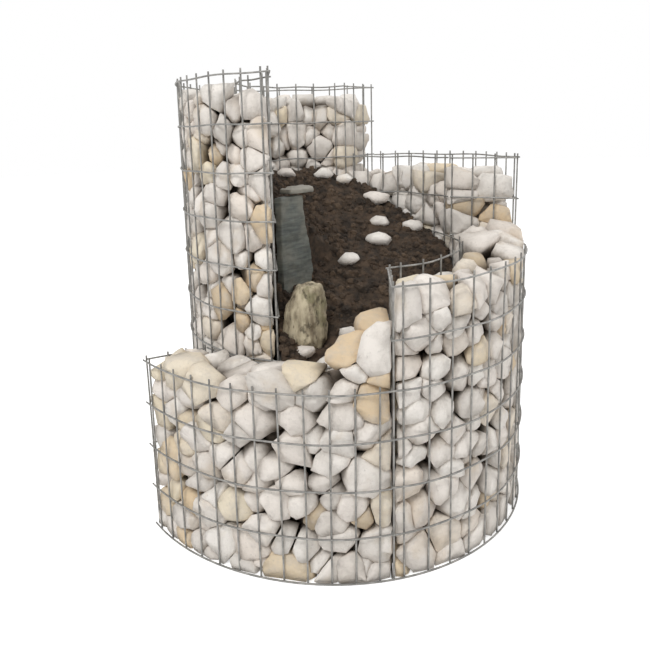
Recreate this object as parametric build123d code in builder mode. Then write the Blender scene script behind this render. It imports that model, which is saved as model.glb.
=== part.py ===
import os
from math import radians, sin

from build123d import *

os.makedirs("parts", exist_ok=True)

# Welded mesh: square wires, upright posts carrying level rungs on their outer side
wire = 4.0
rung_pitch = 100.0
post_tip = 8.0
facet_post_shares = (1 / 4, 3 / 4)
end_post_shares = (0, 1 / 3, 2 / 3, 1)
mesh_depth = 2 * wire

# Spiral in plan: it winds anticlockwise from its low end and laps itself after one turn
front_radius = 493.0
front_angle = -90.0
wall_thickness = 150.0
lap_clearance = 5.0
full_turn = 360.0

# Bays, each one step higher than the one before, in segments of flat facets that set the posts 50 mm apart
low_height = 400.0
height_step = 200.0
bay_names = ("low", "second", "third", "tall")
bay_segments = (2, 2, 2, 3)
outer_facets = (3, 3, 3, 4)
inner_facets = (2, 2, 2, 2)
outer_angles = (-149.0, -82.0, -5.0, 68.0, 246.0)
inner_angles = (-147.0, -76.0, 8.0, 77.0, 227.0)
fill_shares = (1.0, 0.98, 0.98, 0.95)
heap_shares = (1.2, 1.13, 0.98, 0.95)

# Soil: a fan of slopes round the spiral's axis, with a drop beside the tall bay's free end, and a bank
soil_axis_height = 580.0
soil_rim_heights = (390.0, 470.0, 650.0, 770.0, 710.0)
soil_names = ("front", "right", "back", "left")
bank_height = 540.0
bank_rise_share = 0.95

# Stones set in the soil at the drop
slate_width = 110.0
slate_thickness = 22.0
slate_foot = 430.0
slate_top = 735.0
slate_outline_shares = ((0.06, 0), (0.7, 0), (1, 0.38), (0.98, 0.52), (0.8, 0.78), (0.74, 1),
                        (0.02, 1), (0, 0.5))
cap_length = 100.0
cap_width = 62.0
cap_thickness = 16.0
cap_inset = 34.0
cap_outline_shares = ((0, -0.36), (0.3, -0.5), (0.8, -0.42), (1, -0.08), (0.88, 0.4), (0.42, 0.5),
                      (0.05, 0.34))
boulder_width = 106.0
boulder_depth = 90.0
boulder_height = 150.0
boulder_foot = 400.0
boulder_reach = 92.0
boulder_gap = 3.0
boulder_outline_shares = ((0.5, 0.05), (0.26, 0.44), (-0.22, 0.5), (-0.5, 0.12), (-0.36, -0.4), (0.2, -0.5))
boulder_level_shares = ((0, 0.8, 0), (0.25, 1, 0), (0.7, 0.88, 0.06), (1, 0.56, 0.12))


def spiral_point(angle, depth):
    turned_share = (angle - front_angle) / full_turn
    radius = front_radius - (wall_thickness + lap_clearance) * turned_share - depth
    return Vector(radius, 0).rotate(Axis.Z, angle)


def between(start, end, share):
    return start + (end - start) * share


def facet_chain(start, end, facets, depth):
    return [spiral_point(start + (end - start) * i / facets, depth) for i in range(facets + 1)]


def raised(point, height):
    return Vector(point.X, point.Y, height)


def slope_plane(origin, along, across):
    return Plane(origin=origin, x_dir=along, z_dir=across.cross(along))


def rung_planes(height):
    rungs = round(height / rung_pitch)
    return [Plane.XY.offset((height - wire) * i / rungs) for i in range(rungs + 1)]


def mesh_panel(name, height, rail, weld, back, post_shares=facet_post_shares):
    """Mesh between three chains of plan points: the rungs' face, the weld line and the posts' back."""
    half_post = wire / 2
    with BuildPart() as panel:
        with BuildSketch():
            for i in range(len(weld) - 1):
                half_share = half_post / (weld[i + 1] - weld[i]).length
                for post_share in post_shares:
                    share = min(max(post_share, half_share), 1 - half_share)
                    sides = (share - half_share, share + half_share)
                    front = [between(weld[i], weld[i + 1], side) for side in sides]
                    rear = [between(back[i], back[i + 1], side) for side in reversed(sides)]
                    Polygon(*front, *rear, align=None)
        extrude(amount=height + post_tip)
        with BuildSketch(*rung_planes(height)):
            Polygon(*rail, *reversed(weld), align=None)
        extrude(amount=wire)
    finish(panel.part, name)


def finish(piece, name):
    piece.label = name
    export_step(piece, f"parts/{name}.step")


def lead_share(chain, line):
    """Share of a chain's first facet that an end mesh takes up, for its full depth square to itself."""
    facet = chain[1] - chain[0]
    return mesh_depth / sin(radians(facet.get_angle(line))) / facet.length


class Segment:
    """One stretch of a bay between two lines across the wall."""

    def __init__(self, bay, index, count):
        outer = [outer_angles[bay] + (outer_angles[bay + 1] - outer_angles[bay]) * i / count
                 for i in (index, index + 1)]
        inner = [inner_angles[bay] + (inner_angles[bay + 1] - inner_angles[bay]) * i / count
                 for i in (index, index + 1)]
        self.outer_chains = [facet_chain(*outer, outer_facets[bay], depth) for depth in (0, wire, mesh_depth)]
        self.inner_chains = [facet_chain(*inner, inner_facets[bay], wall_thickness - depth)
                             for depth in (0, wire, mesh_depth)]
        self.fill_outer = list(self.outer_chains[-1])
        self.fill_inner = list(self.inner_chains[-1])


def end_mesh(name, height, outer, inner):
    """Mesh across the wall's end, where the fill's outer and inner faces begin, and a fill cut back to it."""
    line = inner[0] - outer[0]
    starts = [between(outer[0], inner[0], share) for share in (0, 1)]
    lead_outer, lead_inner = lead_share(outer, line), lead_share(inner, line)
    outer_weld = between(outer[0], outer[1], lead_outer / 2)
    inner_weld = between(inner[0], inner[1], lead_inner / 2)
    outer[0] = between(outer[0], outer[1], lead_outer)
    inner[0] = between(inner[0], inner[1], lead_inner)
    mesh_panel(name, height, starts, [outer_weld, inner_weld], [outer[0], inner[0]], end_post_shares)


segments = []
for bay, bay_name in enumerate(bay_names):
    bay_height = low_height + height_step * bay
    count = bay_segments[bay]
    for index in range(count):
        segment = Segment(bay, index, count)
        segments.append(segment)
        letter = "abcdefgh"[index]
        mesh_panel(f"{bay_name}_outer_mesh_{letter}", bay_height, *segment.outer_chains)
        mesh_panel(f"{bay_name}_inner_mesh_{letter}", bay_height, *segment.inner_chains)
        if index == 0:
            end_mesh(f"{bay_name}_end_mesh", bay_height, segment.fill_outer, segment.fill_inner)
        if bay_name == bay_names[-1] and index == count - 1:
            segment.fill_outer.reverse()
            segment.fill_inner.reverse()
            free_end = [segment.fill_outer[0], segment.fill_inner[0]]
            end_mesh("free_end_mesh", bay_height, segment.fill_outer, segment.fill_inner)
            segment.fill_outer.reverse()
            segment.fill_inner.reverse()

        start_height = fill_shares[bay] * bay_height
        end_height = (heap_shares if index == count - 1 else fill_shares)[bay] * bay_height
        outer, inner = segment.fill_outer, segment.fill_inner
        with BuildPart() as fill:
            with BuildSketch():
                Polygon(*outer, *reversed(inner), align=None)
            extrude(amount=max(start_height, end_height) + height_step)
            top_start = raised(between(outer[0], inner[0], 1 / 2), start_height)
            top_end = raised(between(outer[-1], inner[-1], 1 / 2), end_height)
            fill_top = slope_plane(top_start, top_end - top_start, outer[0] - inner[0])
            split(bisect_by=fill_top, keep=Keep.BOTTOM)
        finish(fill.part, f"{bay_name}_fill_{letter}")

# Upright slate on the drop line, its back against the higher soil
drop_line = Plane(origin=free_end[1], x_dir=-free_end[1], z_dir=(0, 0, 1))
slate_face = Plane(origin=raised(free_end[1], slate_foot), x_dir=drop_line.x_dir, z_dir=-drop_line.y_dir)
with BuildPart() as upright_slate:
    with BuildSketch(slate_face):
        Polygon(*[(x_share * slate_width, y_share * (slate_top - slate_foot))
                  for x_share, y_share in slate_outline_shares], align=None)
    extrude(amount=slate_thickness)
finish(upright_slate.part, "upright_slate")

with BuildPart() as flat_slate:
    with BuildSketch(drop_line.offset(slate_top)):
        Polygon(*[(cap_inset + x_share * cap_length, y_share * cap_width)
                  for x_share, y_share in cap_outline_shares], align=None)
    extrude(amount=cap_thickness)
finish(flat_slate.part, "flat_slate")

# Boulder in front of the slate, beside the tall bay's end
end_line = Plane(origin=free_end[1], x_dir=free_end[0] - free_end[1], z_dir=(0, 0, 1))
boulder_place = Vector(boulder_reach, boulder_gap + boulder_width / 2)
with BuildPart() as boulder:
    for level_share, size_share, lean_share in boulder_level_shares:
        level_place = boulder_place + Vector(0, lean_share * boulder_width)
        with BuildSketch(end_line.offset(boulder_foot + level_share * boulder_height)):
            Polygon(*[level_place + Vector(x_share * boulder_depth, y_share * boulder_width) * size_share
                      for x_share, y_share in boulder_outline_shares], align=None)
    loft(ruled=True)
finish(boulder.part, "boulder")



def soil_block(plan, top):
    """Soil over a closed chain of plan points, up to a sloping top plane."""
    with BuildPart() as block:
        with BuildSketch():
            Polygon(*plan, align=None)
        extrude(amount=low_height + height_step * len(bay_names))
        split(bisect_by=top, keep=Keep.BOTTOM)
    return block.part


# Soil pieces, each behind an equal run of the segments from the tall bay's end round to it again
rim_segments = segments[bay_segments[0] - 1:]
run = len(rim_segments) // len(soil_names)
axis_point = Vector(0, 0, soil_axis_height)
for i, soil_name in enumerate(soil_names):
    rim = []
    for segment in rim_segments[run * i:run * (i + 1)]:
        rim += segment.inner_chains[0]
    corners = [free_end[1], free_end[0]] if i == 0 else []
    plan = [Vector(), *corners, *rim]
    edges = (corners + rim)[0 if i else 1], rim[-1]
    low_edge, high_edge = (raised(edge, height) - axis_point
                           for edge, height in zip(edges, soil_rim_heights[i:i + 2]))
    with BuildPart() as soil:
        add(soil_block(plan, Plane(origin=axis_point, x_dir=low_edge, z_dir=low_edge.cross(high_edge))))
        if i == 0:
            rise = drop_line.y_dir + Vector(0, 0, bank_rise_share)
            add(soil_block(plan, slope_plane(raised(free_end[1], bank_height), rise, drop_line.x_dir)))
            add(upright_slate.part, mode=Mode.SUBTRACT)
            add(boulder.part, mode=Mode.SUBTRACT)
    finish(soil.part, f"{soil_name}_soil")
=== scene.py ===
import itertools
import math
import random

import bpy
import numpy as np
from mathutils import Matrix, Vector


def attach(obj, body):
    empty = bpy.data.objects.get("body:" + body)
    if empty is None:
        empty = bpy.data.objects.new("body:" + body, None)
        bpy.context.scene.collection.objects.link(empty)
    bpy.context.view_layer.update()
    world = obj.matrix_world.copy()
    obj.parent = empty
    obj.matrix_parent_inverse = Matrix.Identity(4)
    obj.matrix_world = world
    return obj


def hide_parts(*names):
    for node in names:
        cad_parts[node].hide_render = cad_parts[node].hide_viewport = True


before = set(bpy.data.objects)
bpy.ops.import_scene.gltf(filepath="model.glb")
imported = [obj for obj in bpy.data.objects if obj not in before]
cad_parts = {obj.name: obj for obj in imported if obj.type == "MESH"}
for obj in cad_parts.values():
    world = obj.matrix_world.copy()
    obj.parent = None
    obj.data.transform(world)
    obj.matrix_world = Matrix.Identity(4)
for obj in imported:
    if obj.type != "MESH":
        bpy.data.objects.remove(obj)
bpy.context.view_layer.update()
print("stage: frame loaded with", len(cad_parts), "nodes")

# the spiral in plan, in metres and degrees, wound anticlockwise from its low end
wallPlan = {
    "frontRadius": 0.493, "frontAngle": -90, "thickness": 0.150, "lap": 0.005,
    "meshDepth": 0.008, "wire": 0.004, "rungPitch": 0.1, "postTip": 0.008,
    "outerAngles": (-149, -82, -5, 68, 246), "innerAngles": (-147, -76, 8, 77, 227),
}
# posts in the outer and inner mesh, and the tops of the stones at the bay's start and end
bays = [
    {"name": "low", "height": 0.4, "posts": (12, 8), "stoneTops": (0.418, 0.545), "seed": 17},
    {"name": "second", "height": 0.6, "posts": (12, 8), "stoneTops": (0.596, 0.660), "seed": 23},
    {"name": "third", "height": 0.8, "posts": (12, 8), "stoneTops": (0.774, 0.774), "seed": 37},
    {"name": "tall", "height": 1.0, "posts": (24, 12), "stoneTops": (0.984, 0.984), "seed": 53},
]


def spiralRadius(angle):
    turnedShare = (angle - wallPlan["frontAngle"]) / 360
    return wallPlan["frontRadius"] - (wallPlan["thickness"] + wallPlan["lap"]) * turnedShare


def spiralPoint(angle, depth, height=0.0):
    radius = spiralRadius(angle) - depth
    return Vector((radius * math.cos(math.radians(angle)), radius * math.sin(math.radians(angle)), height))


def mixed(start, end, share):
    return start + (end - start) * share


def nodesOf(*starts):
    return [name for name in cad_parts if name.startswith(starts)]


def deselect():
    if bpy.context.object and bpy.context.object.mode != "OBJECT":
        bpy.ops.object.mode_set(mode="OBJECT")
    bpy.ops.object.select_all(action="DESELECT")


def activate(piece):
    deselect()
    piece.select_set(True)
    bpy.context.view_layer.objects.active = piece


def applyModifier(piece, kind, **settings):
    activate(piece)
    modifier = piece.modifiers.new(kind.lower(), kind)
    for name, value in settings.items():
        setattr(modifier, name, value)
    bpy.ops.object.modifier_apply(modifier=modifier.name)


def roughen(piece, shape, **settings):
    # dents of a few sizes, each with its strength
    for size, strength in shape["dents"]:
        texture = bpy.data.textures.new(f"{piece.name}Dents", "CLOUDS")
        texture.noise_scale = size
        texture.noise_depth = shape["dentDetail"]
        applyModifier(piece, "DISPLACE", texture=texture, strength=strength, mid_level=shape["dentLevel"],
                      **settings)
    bpy.ops.object.shade_smooth()


def meshPiece(name, points, faces):
    mesh = bpy.data.meshes.new(name)
    mesh.from_pydata([tuple(p) for p in points], [], [tuple(f) for f in faces])
    piece = bpy.data.objects.new(name, mesh)
    bpy.context.collection.objects.link(piece)
    return piece


def dress(piece, material, slotName, *nodes):
    piece.data.materials.clear()
    piece.data.materials.append(material)
    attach(piece, "root")
    if nodes:
        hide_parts(*nodes)
    return piece


# materials

class Socket:
    def __init__(self, tree, socket):
        self.tree = tree
        self.socket = socket

    def node(self, kind, settings, inputs, output=0):
        made = self.tree.nodes.new(kind)
        for name, value in settings.items():
            if name == "stops":
                elements = made.color_ramp.elements
                while len(elements) < len(value):
                    elements.new(1)
                for element, (place, colour) in zip(elements, value):
                    element.position = place
                    element.color = (*colour, 1)
            else:
                setattr(made, name, value)
        for name, value in inputs.items():
            if isinstance(value, Socket):
                self.tree.links.new(value.socket, made.inputs[name])
            else:
                made.inputs[name].default_value = value
        return Socket(self.tree, made.outputs[output])

    def calc(self, operation, first, second):
        return self.node("ShaderNodeMath", {"operation": operation}, {0: first, 1: second})

    def __add__(self, other):
        return self.calc("ADD", self, other)

    def __radd__(self, other):
        return self.calc("ADD", other, self)

    def __sub__(self, other):
        return self.calc("SUBTRACT", self, other)

    def __rsub__(self, other):
        return self.calc("SUBTRACT", other, self)

    def __mul__(self, other):
        return self.calc("MULTIPLY", self, other)

    def __rmul__(self, other):
        return self.calc("MULTIPLY", other, self)


def startMaterial(name):
    material = bpy.data.materials.new(name)
    material.use_nodes = True
    tree = material.node_tree
    shader = tree.nodes["Principled BSDF"]
    place = tree.nodes.new("ShaderNodeTexCoord")
    return material, shader, Socket(tree, place.outputs["Object"])


def feed(shader, **links):
    for name, value in links.items():
        target = shader.inputs[name.replace("_", " ")]
        if isinstance(value, Socket):
            value.tree.links.new(value.socket, target)
        else:
            target.default_value = value


def grain(place, scale, detail=4.0, rough=0.55):
    inputs = {"Vector": place, "Scale": scale, "Detail": detail, "Roughness": rough}
    return place.node("ShaderNodeTexNoise", {}, inputs)


def stretched(place, scale):
    return place.node("ShaderNodeMapping", {}, {"Vector": place, "Scale": scale})


def ramp(value, *stops):
    return value.node("ShaderNodeValToRGB", {"stops": stops}, {"Fac": value})


def step(value, low, high):
    return value.node("ShaderNodeMapRange", {"interpolation_type": "SMOOTHSTEP"},
                      {"Value": value, "From Min": low, "From Max": high})


def tinted(factor, first, second):
    return factor.node("ShaderNodeMix", {"data_type": "RGBA"}, {0: factor, 6: first, 7: second}, output=2)


def bumped(height, strength, distance):
    return height.node("ShaderNodeBump", {}, {"Height": height, "Strength": strength, "Distance": distance})


def stoneFinish():
    material, shader, place = startMaterial("paleStone")
    tint = place.node("ShaderNodeAttribute", {"attribute_name": "stoneTint"}, {}, output="Fac")
    depth = place.node("ShaderNodeAttribute", {"attribute_name": "stoneDepth"}, {}, output="Fac")
    body = ramp(tint, (0.0, (0.86, 0.82, 0.765)), (0.42, (0.83, 0.765, 0.70)), (0.60, (0.70, 0.66, 0.61)),
                (0.74, (0.81, 0.73, 0.65)), (0.88, (0.79, 0.70, 0.54)), (0.96, (0.72, 0.56, 0.37)),
                (1.0, (0.54, 0.44, 0.31)))
    cloud = grain(place, 30, 6, 0.62)
    stain = step(grain(place, 12, 4, 0.55), 0.55, 0.70)
    fine = grain(place, 150, 6, 0.7)
    shaded = tinted(step(cloud, 0.42, 0.68) * 0.45, body, (0.53, 0.485, 0.435, 1))
    stained = tinted(stain * 0.38, shaded, (0.58, 0.46, 0.32, 1))
    speckled = tinted(step(fine, 0.55, 0.72) * 0.4, stained, (0.40, 0.36, 0.32, 1))
    # painted shade: corners deep inside the fill, away from the mesh, the ends and the top, are painted dark
    # brown as shade in the gaps between the stones
    paintedShadeInGaps = tinted(step(depth + 0.012 * cloud, 0.014, 0.046) * 0.9, speckled, (0.12, 0.085, 0.055, 1))
    feed(shader, Base_Color=paintedShadeInGaps, Roughness=0.72 + 0.2 * fine,
         Normal=bumped(cloud * 0.6 + fine * 0.4, 0.9, 0.006))
    return material


def wireFinish():
    material, shader, place = startMaterial("galvanisedWire")
    mottle = grain(place, 60, 3)
    fine = grain(place, 420, 3)
    zinc = tinted(step(mottle, 0.35, 0.7), (0.20, 0.196, 0.185, 1), (0.35, 0.34, 0.32, 1))
    rusty = tinted(step(grain(place, 14, 4, 0.6), 0.64, 0.78) * 0.45, zinc, (0.22, 0.15, 0.10, 1))
    feed(shader, Base_Color=rusty, Metallic=0.55, Roughness=0.42 + 0.25 * mottle,
         Normal=bumped(fine, 0.2, 0.0004))
    return material


def soilFinish():
    material, shader, place = startMaterial("plantingSoil")
    clump = grain(place, 34, 6, 0.65)
    fine = grain(place, 260, 6, 0.75)
    clodTint = place.node("ShaderNodeAttribute", {"attribute_name": "stoneTint"}, {}, output="Fac")
    dark = tinted(step(clump, 0.35, 0.68), (0.026, 0.018, 0.012, 1), (0.098, 0.064, 0.040, 1))
    drier = tinted(step(clodTint, 0.55, 1.0) * 0.5, dark, (0.17, 0.115, 0.072, 1))
    flecked = tinted(step(fine, 0.58, 0.72) * 0.6, drier, (0.20, 0.145, 0.095, 1))
    feed(shader, Base_Color=flecked, Roughness=0.95, Normal=bumped(clump * 0.4 + fine * 0.6, 1.0, 0.008))
    return material


def slateFinish():
    material, shader, place = startMaterial("greySlate")
    layers = grain(stretched(place, (3, 3, 26)), 6, 6, 0.6)
    cloud = grain(place, 14, 4)
    fine = grain(place, 190, 4)
    body = tinted(step(layers, 0.35, 0.68), (0.085, 0.095, 0.090, 1), (0.165, 0.180, 0.160, 1))
    weathered = tinted(step(cloud, 0.45, 0.72) * 0.6, body, (0.27, 0.26, 0.215, 1))
    height = place.node("ShaderNodeSeparateXYZ", {}, {"Vector": place}, output="Z")
    # the flat slate's upper face, above about 0.74 m, is painted a warm light grey
    paleOnTop = tinted(step(height + 0.01 * fine, 0.738, 0.752) * 0.7, weathered, (0.36, 0.33, 0.28, 1))
    feed(shader, Base_Color=paleOnTop, Roughness=0.55 + 0.3 * cloud,
         Normal=bumped(layers * 0.7 + fine * 0.3, 0.6, 0.003))
    return material


def boulderFinish():
    material, shader, place = startMaterial("mossyBoulder")
    streak = grain(stretched(place, (7, 7, 1.6)), 9, 6, 0.62)
    cloud = grain(place, 17, 5, 0.6)
    fine = grain(place, 200, 5)
    pits = step(grain(stretched(place, (1, 1, 0.45)), 75, 4, 0.6), 0.54, 0.66)
    body = tinted(step(streak, 0.32, 0.66), (0.22, 0.18, 0.12, 1), (0.55, 0.48, 0.34, 1))
    mossy = tinted(step(cloud, 0.52, 0.66) * 0.45, body, (0.14, 0.145, 0.055, 1))
    pitted = tinted(pits * 0.75, mossy, (0.075, 0.062, 0.04, 1))
    feed(shader, Base_Color=pitted, Roughness=0.9,
         Normal=bumped(streak * 0.5 + fine * 0.2 - pits * 0.3, 0.9, 0.006))
    return material


paleStone = stoneFinish()
galvanisedWire = wireFinish()
plantingSoil = soilFinish()
greySlate = slateFinish()
mossyBoulder = boulderFinish()
print("stage: materials made")


# stones, each the space nearer to its own centre than to its neighbours', with its corners knocked off

stoneShape = {
    # where the centres lie, and how large a share each takes
    "pitch": (0.054, 0.067, 0.045), "jitter": (0.40, 0.16, 0.42), "stagger": 0.25, "shift": 0.002,
    "sizes": (0.017, 0.038), "smallShare": 0.40, "smallSizes": (0.008, 0.019), "smallRoom": 0.025,
    "leastReach": 0.009, "edgeRoom": 0.016, "topRoom": 0.022, "heapCurve": 1.5,
    "footHeight": 0.08, "footSpread": 1.35, "footPitch": 0.038,
    # how the mesh, the top and the neighbours cut them
    "press": 0.002, "meshGap": 0.006, "topGap": 0.022, "tilts": (0.12, 0.12, 0.30, 0.30, 0, 0.40),
    "leastSide": 0.008, "neighbours": 18, "joints": (-0.0016, 0.0016), "chipNeighbours": 8,
    "chipReach": (0.98, 1.30), "looseReach": (0.72, 1), "planes": 20, "leastEdge": 0.001, "tolerance": 1e-6,
    # how they are worn
    "crease": 0.42, "footCrease": 0.95, "dents": [(0.022, 0.008)], "dentDetail": 1, "dentLevel": 0.5,
}
boxNormals = np.array([(-1, 0, 0), (1, 0, 0), (0, -1, 0), (0, 1, 0), (0, 0, -1), (0, 0, 1)], float)


def unit(vectors):
    return vectors / np.linalg.norm(vectors, axis=-1, keepdims=True)


cornerNormals = unit(np.array(list(itertools.product((-1, 1), repeat=3)), float))
# no face's normal lies along this line, so it gives each face a side to count its corners from
skewLine = (0.36, 0.48, 0.8)


def cornersAndFaces(normals, reaches, bounds=0):
    # corners where three planes meet behind all others, and each plane's corners in order
    # all the bounds count, which come first, and only the nearest of the other planes
    nearest = np.append(np.arange(bounds), bounds + np.argsort(reaches[bounds:])[:stoneShape["planes"]])
    normals, reaches = normals[nearest], reaches[nearest]
    triples = np.array(list(itertools.combinations(range(len(normals)), 3)))
    sets = normals[triples]
    sound = np.abs(np.linalg.det(sets)) > stoneShape["tolerance"]
    triples = triples[sound]
    points = np.linalg.solve(sets[sound], reaches[triples][..., None])[..., 0]
    inside = (points @ normals.T <= reaches + stoneShape["tolerance"]).all(axis=1)
    points, triples = points[inside], triples[inside]
    close = np.linalg.norm(points[:, None] - points, axis=2) < stoneShape["leastEdge"]
    firsts = close.argmax(axis=1)
    kept, corners = np.unique(firsts[firsts], return_inverse=True)
    points = points[kept]
    faces = []
    for plane, normal in enumerate(normals):
        members = np.unique(corners[(triples == plane).any(axis=1)])
        if len(members) > 2:
            side = unit(np.cross(normal, skewLine))
            spread = points[members] - points[members].mean(axis=0)
            turns = np.arctan2(spread @ np.cross(normal, side), spread @ side)
            faces.append(members[np.argsort(turns)])
    return points, faces


def chipPlanes(rng, size):
    # the sides and corners of a box turned at random, each at its own distance
    turn = np.linalg.qr(rng.normal(size=(3, 3)))[0]
    normals = np.vstack([boxNormals, cornerNormals]) @ turn
    return normals, size * rng.uniform(*stoneShape["chipReach"], len(normals))


def looseStone(rng, size):
    normals, reaches = chipPlanes(rng, 1)
    shares = rng.uniform(*stoneShape["looseReach"], len(reaches))
    corners, faces = cornersAndFaces(normals, reaches * shares)
    return corners * size, faces


def pointValues(piece, name, values):
    piece.data.attributes.new(name, "FLOAT", "POINT").data.foreach_set("value", values)


def joinedStones(name, stones, tints, depths=None):
    points, faces, values = [], [], []
    for (corners, sides), tint in zip(stones, tints):
        faces += [[int(i) + len(points) for i in side] for side in sides]
        values += [tint] * len(corners)
        points += [tuple(corner) for corner in corners]
    piece = meshPiece(name, points, faces)
    pointValues(piece, "stoneTint", values)
    pointValues(piece, "stoneDepth", np.zeros(len(points)) if depths is None else np.concatenate(depths))
    return piece


def wornStones(name, stones, tints, depths=None):
    piece = joinedStones(name, stones, tints, depths)
    heights = np.array([vertex.co.z for vertex in piece.data.vertices])
    edges = np.array([edge.vertices[:] for edge in piece.data.edges])
    onFloor = (heights[edges] < stoneShape["leastEdge"]).all(axis=1)
    creases = np.where(onFloor, stoneShape["footCrease"], stoneShape["crease"])
    piece.data.edge_creases_ensure().data.foreach_set("value", creases)
    applyModifier(piece, "SUBSURF", levels=1, render_levels=1)
    roughen(piece, stoneShape)
    return piece


class BayWall:
    # a bay laid out flat: along its middle line, through its thickness, and up
    def __init__(self, index):
        self.bay = bays[index]
        self.outer = wallPlan["outerAngles"][index:index + 2]
        self.inner = wallPlan["innerAngles"][index:index + 2]
        self.depth = wallPlan["thickness"] - 2 * wallPlan["meshDepth"]
        middle = [mixed(a, b, 0.5) for a, b in zip(self.outer, self.inner)]
        radius = spiralRadius(mixed(*middle, 0.5)) - wallPlan["thickness"] / 2
        self.length = math.radians(middle[1] - middle[0]) * radius
        lastStone = self.length - (wallPlan["meshDepth"] if index == len(bays) - 1 else 0)
        self.ends = (wallPlan["meshDepth"], lastStone)

    def top(self, along):
        heap = np.clip(along / self.length * 2 - 1, 0, 1) ** stoneShape["heapCurve"]
        return mixed(*self.bay["stoneTops"], heap)

    def bent(self, flat):
        along, through = flat[:, 0] / self.length, flat[:, 1] / self.depth
        angle = mixed(mixed(*self.outer, along), mixed(*self.inner, along), through)
        turned = np.radians(angle)
        radius = spiralRadius(angle) - wallPlan["meshDepth"] - flat[:, 1]
        return np.column_stack([radius * np.cos(turned), radius * np.sin(turned), flat[:, 2]])

    def inward(self, flat):
        # how deep a point lies in the fill from its nearest open face; the stone finish paints shade in the
        # gaps by it
        along, through, up = flat.T
        ends = along - self.ends[0], self.ends[1] - along
        return np.clip(np.min([*ends, through, self.depth - through, self.top(along) - up], axis=0), 0, None)

    def gridPlaces(self, size, rng):
        counts = np.maximum(np.round(size / stoneShape["pitch"]), 2).astype(int)
        cells = np.array(list(itertools.product(*[range(count) for count in counts])), float)
        places = cells + 0.5 + rng.uniform(-1, 1, cells.shape) * stoneShape["jitter"]
        oddRows = cells[:, 1:].sum(axis=1) % 2
        places[:, 0] += np.where(oddRows, stoneShape["stagger"], -stoneShape["stagger"])
        return places * size / counts

    def seeds(self, rng):
        # centres on a loose grid, then small ones in the gaps, then a row along the outer foot
        size = np.array([self.length, self.depth, max(self.bay["stoneTops"])])
        places = self.gridPlaces(size, rng)
        radii = rng.uniform(*stoneShape["sizes"], len(places))
        for small in rng.uniform(0, size, (round(len(places) * stoneShape["smallShare"]), 3)):
            if np.linalg.norm(places - small, axis=1).min() > stoneShape["smallRoom"]:
                places = np.vstack([places, small])
                radii = np.append(radii, rng.uniform(*stoneShape["smallSizes"]))
        foot = np.arange(0.5, self.length / stoneShape["footPitch"]) * stoneShape["footPitch"]
        footSizes = np.full(len(foot), stoneShape["smallSizes"][1])
        places = np.vstack([places, np.column_stack([foot, footSizes, footSizes])])
        radii = np.append(radii, footSizes)
        places += rng.normal(0, stoneShape["shift"], places.shape)
        places = np.clip(places, stoneShape["edgeRoom"], size - stoneShape["edgeRoom"])
        kept = places[:, 2] < self.top(places[:, 0]) - stoneShape["topRoom"]
        return roomyOnly(places[kept], radii[kept])

    def footShare(self, place):
        return min(place[2] / stoneShape["footHeight"], 1)

    def sidePlanes(self, place, rng):
        room = np.array([place[0] - self.ends[0], self.ends[1] - place[0], place[1], self.depth - place[1],
                         place[2], self.top(place[0]) - place[2]])
        room[:4] += stoneShape["press"]
        meshGap = stoneShape["meshGap"] * self.footShare(place)
        gaps = rng.uniform(0, 1, len(room)) * ([meshGap] * 4 + [0, stoneShape["topGap"]])
        tilts = np.array(stoneShape["tilts"])[:, None] * self.footShare(place)
        tilted = unit(boxNormals + rng.uniform(-1, 1, boxNormals.shape) * tilts)
        turned = np.flatnonzero(tilts)
        reaches = np.append(room, (room - gaps)[turned])
        return np.vstack([boxNormals, tilted[turned]]), np.maximum(reaches, stoneShape["leastSide"])


def meetingReaches(places, radii, index):
    # how far from one stone's centre its planes to the others lie, the larger stone taking the larger share
    offsets = places - places[index]
    distances = np.linalg.norm(offsets, axis=1)
    distances[index] = np.inf
    return offsets, distances, distances / 2 + (radii[index] ** 2 - radii ** 2) / (2 * distances)


def roomyOnly(places, radii):
    while True:
        least = [meetingReaches(places, radii, index)[2].min() for index in range(len(places))]
        worst = int(np.argmin(least))
        if least[worst] > stoneShape["leastReach"]:
            return places, radii
        places, radii = np.delete(places, worst, axis=0), np.delete(radii, worst)


def fillBay(index):
    wall = BayWall(index)
    rng = np.random.default_rng(wall.bay["seed"])
    places, radii = wall.seeds(rng)
    stones, depths = [], []
    for i, place in enumerate(places):
        offsets, distances, reaches = meetingReaches(places, radii, i)
        near = np.argsort(reaches)[:stoneShape["neighbours"]]
        meeting = offsets[near] / distances[near, None], reaches[near] - rng.uniform(*stoneShape["joints"])
        sides = wall.sidePlanes(place, rng)
        spread = mixed(stoneShape["footSpread"], 1, wall.footShare(place))
        chips = chipPlanes(rng, reaches[near][:stoneShape["chipNeighbours"]].mean() * spread)
        normals, reaches = (np.concatenate(parts) for parts in zip(sides, meeting, chips))
        corners, faces = cornersAndFaces(normals, reaches, len(boxNormals))
        stones.append((wall.bent(place + corners), faces))
        depths.append(wall.inward(place + corners))
    piece = wornStones(f"{wall.bay['name']}Stones", stones, rng.random(len(stones)), depths)
    print("stage:", len(stones), "stones in the", wall.bay["name"], "bay")
    return dress(piece, paleStone, "stone_fill", *nodesOf(f"{wall.bay['name']}_fill"))


for index in range(len(bays)):
    fillBay(index)


# welded mesh

wireShape = {"lean": 0.003, "wave": 0.0012, "waveRate": 0.21, "phases": (0, 6), "weld": 0.0004,
             "sampleAngle": 2.0, "postSteps": 6, "endPosts": 4, "smoothAngle": 50, "seed": 5}
wireRng = random.Random(wireShape["seed"])
halfWire = wallPlan["wire"] / 2
weldDepth = 3 * halfWire - wireShape["weld"]


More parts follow.
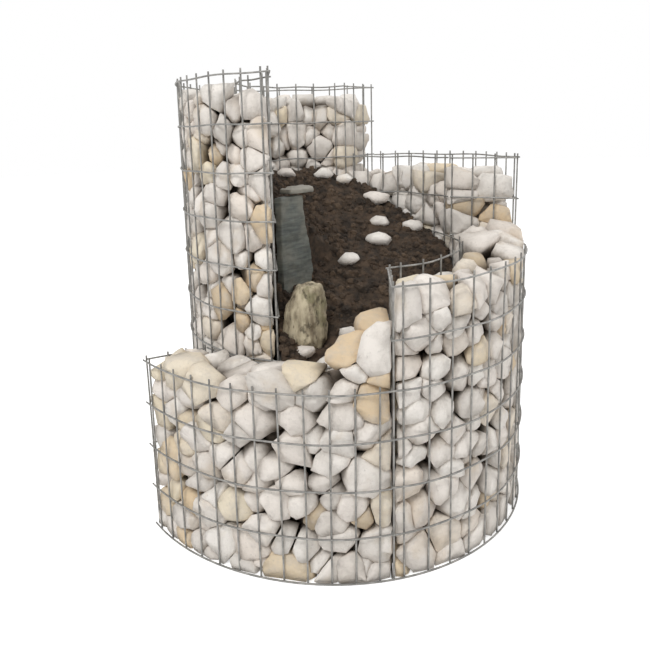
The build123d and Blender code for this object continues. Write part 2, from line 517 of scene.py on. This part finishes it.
def wirePiece(name, paths, nodes):
    curve = bpy.data.curves.new(name, "CURVE")
    curve.dimensions = "3D"
    curve.bevel_depth = halfWire
    curve.bevel_resolution = 1
    curve.use_fill_caps = True
    for path in paths:
        spline = curve.splines.new("POLY")
        spline.points.add(len(path) - 1)
        for point, place in zip(spline.points, path):
            point.co = (*place, 1)
    piece = bpy.data.objects.new(name, curve)
    bpy.context.collection.objects.link(piece)
    activate(piece)
    bpy.ops.object.convert(target="MESH")
    piece = bpy.context.object
    bpy.ops.object.shade_smooth_by_angle(angle=math.radians(wireShape["smoothAngle"]))
    return dress(piece, galvanisedWire, "galvanised_wire", *nodes)


def rungHeights(height):
    count = round(height / wallPlan["rungPitch"])
    return [halfWire + (height - wallPlan["wire"]) * i / count for i in range(count + 1)]


def leaningPost(place, tangent, outward, height):
    sway = [wireRng.uniform(-1, 1) * wireShape["lean"] for _ in range(2)]
    bow = wireRng.uniform(-1, 1) * wireShape["wave"]
    top = height + wallPlan["postTip"]
    path = []
    for i in range(wireShape["postSteps"] + 1):
        share = i / wireShape["postSteps"]
        path.append(place + tangent * (sway[0] * share) + outward * (bow * math.sin(share * math.pi))
                    + Vector((0, 0, top * share)))
    return path


def curvedMesh(name, bay, angles, posts, rungDepth, postDepth, nodes):
    paths = []
    for post in range(posts):
        angle = mixed(*angles, (post + 0.5) / posts)
        outward = spiralPoint(angle, 0).normalized()
        tangent = Vector((-outward.y, outward.x, 0))
        paths.append(leaningPost(spiralPoint(angle, postDepth), tangent, outward, bay["height"]))
    samples = round((angles[1] - angles[0]) / wireShape["sampleAngle"])
    for rung, height in enumerate(rungHeights(bay["height"])):
        phase = wireRng.uniform(*wireShape["phases"])
        path = []
        for i in range(samples + 1):
            angle = mixed(*angles, i / samples)
            turn = phase + angle * wireShape["waveRate"]
            wave = wireShape["wave"] * math.sin(turn) if rung else 0
            path.append(spiralPoint(angle, rungDepth, height + wave))
        paths.append(path)
    return wirePiece(name, paths, nodes)


def crossMesh(name, height, outerAngle, innerAngle, side, nodes):
    outer = spiralPoint(outerAngle, wallPlan["meshDepth"])
    inner = spiralPoint(innerAngle, wallPlan["thickness"] - wallPlan["meshDepth"])
    across = (inner - outer).normalized()
    into = Vector((across.y, -across.x, 0)) * side
    edge = across * halfWire
    paths = []
    for post in range(wireShape["endPosts"]):
        place = mixed(outer + edge, inner - edge, post / (wireShape["endPosts"] - 1))
        paths.append(leaningPost(place + into * weldDepth, across, into, height))
    for rung in rungHeights(height):
        lift = Vector((0, 0, rung))
        paths.append([outer + into * halfWire + lift, inner + into * halfWire + lift])
    return wirePiece(name, paths, nodes)


for index, bay in enumerate(bays):
    outerAngles = wallPlan["outerAngles"][index:index + 2]
    innerAngles = wallPlan["innerAngles"][index:index + 2]
    curvedMesh(f"{bay['name']}OuterMesh", bay, outerAngles, bay["posts"][0], halfWire, weldDepth,
               nodesOf(f"{bay['name']}_outer_mesh"))
    curvedMesh(f"{bay['name']}InnerMesh", bay, innerAngles, bay["posts"][1],
               wallPlan["thickness"] - halfWire, wallPlan["thickness"] - weldDepth,
               nodesOf(f"{bay['name']}_inner_mesh"))
    crossMesh(f"{bay['name']}EndMesh", bay["height"], outerAngles[0], innerAngles[0], 1,
              nodesOf(f"{bay['name']}_end_mesh"))
crossMesh("freeEndMesh", bays[-1]["height"], wallPlan["outerAngles"][-1], wallPlan["innerAngles"][-1], -1,
          ["free_end_mesh"])
print("stage: mesh panels bent and welded")


# soil, slates and boulder

sameCorner = 0.0004


def nodeCopy(name, *nodes):
    deselect()
    copies = []
    for node in nodes:
        copy = bpy.data.objects.new(name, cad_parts[node].data.copy())
        bpy.context.collection.objects.link(copy)
        copy.select_set(True)
        copies.append(copy)
    bpy.context.view_layer.objects.active = copies[0]
    if len(copies) > 1:
        bpy.ops.object.join()
    bpy.ops.object.mode_set(mode="EDIT")
    bpy.ops.mesh.select_all(action="SELECT")
    bpy.ops.mesh.remove_doubles(threshold=sameCorner)
    bpy.ops.object.mode_set(mode="OBJECT")
    copies[0].name = name
    return copies[0]


def remeshed(name, shape, *nodes):
    piece = nodeCopy(name, *nodes)
    applyModifier(piece, "REMESH", mode="VOXEL", voxel_size=shape["voxel"])
    return piece


def soften(piece, shape, **settings):
    applyModifier(piece, "SMOOTH", factor=0.5, iterations=shape["smoothing"], **settings)


soilShape = {"voxel": 0.008, "smoothing": 6, "topNormal": 0.35, "dents": [(0.06, 0.026), (0.012, 0.007)],
             "dentDetail": 3, "dentLevel": 0.5}


def topGroup(piece):
    group = piece.vertex_groups.new(name="top")
    for vertex in piece.data.vertices:
        if vertex.normal.z > soilShape["topNormal"]:
            group.add([vertex.index], 1, "REPLACE")
    return group.name


def soilBed():
    nodes = nodesOf("front_soil", "right_soil", "back_soil", "left_soil")
    piece = remeshed("soilBed", soilShape, *nodes)
    group = topGroup(piece)
    soften(piece, soilShape, vertex_group=group)
    roughen(piece, soilShape, vertex_group=group, direction="Z")
    return dress(piece, plantingSoil, "soil", *nodes)


clodShape = {"count": 2200, "sizes": (0.002, 0.010), "sizeCurve": 2.5, "groundNormal": 0.5, "seed": 3}


def soilClods(soil):
    rng = np.random.default_rng(clodShape["seed"])
    ground = [face.center for face in soil.data.polygons if face.normal.z > clodShape["groundNormal"]]
    clods = []
    for pick in rng.choice(len(ground), clodShape["count"]):
        corners, faces = looseStone(rng, mixed(*clodShape["sizes"], rng.random() ** clodShape["sizeCurve"]))
        clods.append((corners + np.array(ground[pick]), faces))
    return dress(joinedStones("soilClods", clods, rng.random(len(clods))), plantingSoil, "soil")


soilPiece = soilBed()
soilClods(soilPiece)
print("stage: soil raked")

slateShape = {"voxel": 0.004, "smoothing": 3, "dents": [(0.05, 0.010), (0.012, 0.004)], "dentDetail": 2,
              "dentLevel": 0.62}
boulderShape = {"voxel": 0.005, "smoothing": 10, "dents": [(0.045, 0.016), (0.014, 0.007)], "dentDetail": 3,
                "dentLevel": 0.5}


def weathered(name, node, shape, material, slotName):
    piece = remeshed(name, shape, node)
    soften(piece, shape)
    roughen(piece, shape)
    return dress(piece, material, slotName, node)


weathered("uprightSlate", "upright_slate", slateShape, greySlate, "slate")
weathered("flatSlate", "flat_slate", slateShape, greySlate, "slate")
weathered("boulder", "boulder", boulderShape, mossyBoulder, "boulder")
print("stage: slates and boulder split")

# loose stones lying on the soil, by angle and by share of the way from the axis to the wall
looseStones = [(55, 0.84, 0.026), (42, 0.63, 0.020), (19, 0.44, 0.026), (-51, 0.17, 0.020),
               (92, 0.88, 0.022), (-107, 0.89, 0.018), (-96, 0.93, 0.024), (-82, 0.90, 0.027),
               (-86, 0.74, 0.020), (78, 0.90, 0.020), (28, 0.86, 0.022), (-20, 0.90, 0.022),
               (-38, 0.86, 0.024), (120, 0.90, 0.022), (150, 0.82, 0.018)]
looseShape = {"stretch": (1.2, 1, 0.75), "lift": 0.32, "tints": (0, 0.5), "dropHeight": 1.2, "seed": 71}


def looseOnSoil():
    rng = np.random.default_rng(looseShape["seed"])
    stones = []
    for angle, share, size in looseStones:
        x, y = (spiralPoint(angle, wallPlan["thickness"]) * share).xy
        found, hit, _, _ = soilPiece.ray_cast(Vector((x, y, looseShape["dropHeight"])), Vector((0, 0, -1)))
        if not found:
            continue
        corners, faces = looseStone(rng, size)
        bed = np.array((hit.x, hit.y, hit.z + size * looseShape["lift"]))
        stones.append((corners * looseShape["stretch"] + bed, faces))
    piece = wornStones("looseStones", stones, rng.uniform(*looseShape["tints"], len(stones)))
    return dress(piece, paleStone, "stone_fill")


looseOnSoil()
print("stage: loose stones laid")


# floor, light and camera

floorShape = {"radius": 14, "sides": 96, "depth": 0.001, "colour": (0.86, 0.86, 0.86, 1),
              "glow": (0.55, 0.55, 0.55, 1)}


def backdropRay(socket):
    kinds = ("Is Camera Ray", "Is Glossy Ray", "Is Transmission Ray")
    camera, glossy, transmission = (socket.node("ShaderNodeLightPath", {}, {}, output=kind) for kind in kinds)
    return camera + glossy + transmission


def paleFloor():
    deselect()
    bpy.ops.mesh.primitive_circle_add(vertices=floorShape["sides"], radius=floorShape["radius"],
                                      fill_type="NGON", location=(0, 0, -floorShape["depth"]))
    floor = bpy.context.object
    floor.name = "floor"
    material, shader, place = startMaterial("paleFloor")
    glow = tinted(backdropRay(place), (0, 0, 0, 1), floorShape["glow"])
    feed(shader, Base_Color=floorShape["colour"], Roughness=0.9, Emission_Color=glow, Emission_Strength=1)
    floor.data.materials.append(material)


paleFloor()

studioLights = [
    {"name": "keyLight", "place": (-1.3, -2.4, 3.4), "size": 1.4, "power": 76},
    {"name": "sideLight", "place": (3.0, -0.8, 2.2), "size": 2.0, "power": 22},
    {"name": "backLight", "place": (0.6, 2.8, 2.8), "size": 2.0, "power": 30},
]
lightTarget = Vector((0, 0, 0.5))
for light in studioLights:
    lamp = bpy.data.lights.new(light["name"], "AREA")
    lamp.size = light["size"]
    lamp.energy = light["power"]
    holder = bpy.data.objects.new(light["name"], lamp)
    holder.location = light["place"]
    holder.rotation_euler = (lightTarget - holder.location).to_track_quat("-Z", "Y").to_euler()
    bpy.context.collection.objects.link(holder)

skyShape = {"colour": (1, 1, 1, 1), "light": 0.6, "backdropExtra": 0.4}
world = bpy.data.worlds.new("studio")
world.use_nodes = True
bpy.context.scene.world = world
sky = world.node_tree.nodes["Background"]
sky.inputs["Color"].default_value = skyShape["colour"]
rays = backdropRay(Socket(world.node_tree, sky.outputs[0]))
strength = skyShape["light"] + skyShape["backdropExtra"] * rays
world.node_tree.links.new(strength.socket, sky.inputs["Strength"])

photoCamera = {"place": (-0.1130, -1.6007, 0.8887), "pitch": 0.1884, "roll": -0.0337, "focalPixels": 638.43,
               "centre": (289.54, 249.01), "frame": 650, "sensorWidth": 36}
camera = bpy.data.cameras.new("photoCamera")
camera.sensor_width = photoCamera["sensorWidth"]
camera.lens = camera.sensor_width * photoCamera["focalPixels"] / photoCamera["frame"]
camera.shift_x = 0.5 - photoCamera["centre"][0] / photoCamera["frame"]
camera.shift_y = photoCamera["centre"][1] / photoCamera["frame"] - 0.5
viewer = bpy.data.objects.new("photoCamera", camera)
viewer.matrix_world = (Matrix.Translation(photoCamera["place"])
                       @ Matrix.Rotation(math.pi / 2 - photoCamera["pitch"], 4, "X")
                       @ Matrix.Rotation(photoCamera["roll"], 4, "Z"))
bpy.context.collection.objects.link(viewer)
bpy.context.scene.camera = viewer
bpy.context.scene.view_settings.view_transform = "Standard"
print("stage: floor, light and camera set")
